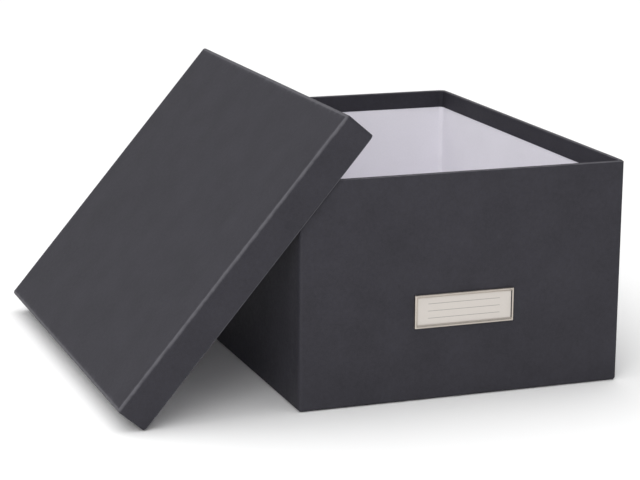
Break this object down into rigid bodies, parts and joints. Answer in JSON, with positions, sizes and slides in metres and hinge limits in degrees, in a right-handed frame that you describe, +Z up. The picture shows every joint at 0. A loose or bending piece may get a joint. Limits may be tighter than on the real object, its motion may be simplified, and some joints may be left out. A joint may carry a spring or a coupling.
{
  "type": "archival box",
  "caption": "Deep covered greyboard storage box with a lift-off lid leaning on its side, and a metal label holder on the front.",
  "frame": {"origin": "middle of the tray's underside, in the plane of the surface it stands on", "axes": "+Z up; the labelled front faces -Y; +X to the right of someone facing the front, away from the leaning lid"},
  "size_m": [0.3967, 0.3514, 0.2197],
  "materials": {
    "greyboard": "uncoated grey millboard",
    "stay_tape": "gummed paper tape",
    "cover_paper": "charcoal uncoated book-cover paper with a faint fibre texture",
    "lining_paper": "smooth uncoated white paper",
    "plated_steel": "satin nickel plate on pressed steel",
    "card_stock": "uncoated off-white card, bare"
  },
  "bodies": {
    "box": {"base_board": "greyboard", "front_wall_board": "greyboard", "rear_wall_board": "greyboard", "left_wall_board": "greyboard", "right_wall_board": "greyboard", "box_corner_stay_front_left": "stay_tape", "box_corner_stay_front_right": "stay_tape", "box_corner_stay_rear_left": "stay_tape", "box_corner_stay_rear_right": "stay_tape", "box_wrap": "cover_paper", "base_cover": "cover_paper", "wall_lining": "lining_paper", "floor_lining": "lining_paper", "label_frame": "plated_steel"},
    "label_card": {"label_card": "card_stock"},
    "lid": {"lid_panel_board": "greyboard", "lid_front_skirt_board": "greyboard", "lid_rear_skirt_board": "greyboard", "lid_left_skirt_board": "greyboard", "lid_right_skirt_board": "greyboard", "lid_corner_stay_front_left": "stay_tape", "lid_corner_stay_front_right": "stay_tape", "lid_corner_stay_rear_left": "stay_tape", "lid_corner_stay_rear_right": "stay_tape", "lid_wrap": "cover_paper", "lid_lining": "lining_paper"}
  },
  "joints": [
    {"name": "lid_lift", "type": "slide", "parent": "box", "child": "lid", "axis": [0, 0, 1], "range_m": [0, 0.2]},
    {"name": "label_card_slide", "type": "slide", "parent": "box", "child": "label_card", "axis": [1, 0, 0], "range_m": [0, 0.08]}
  ]
}
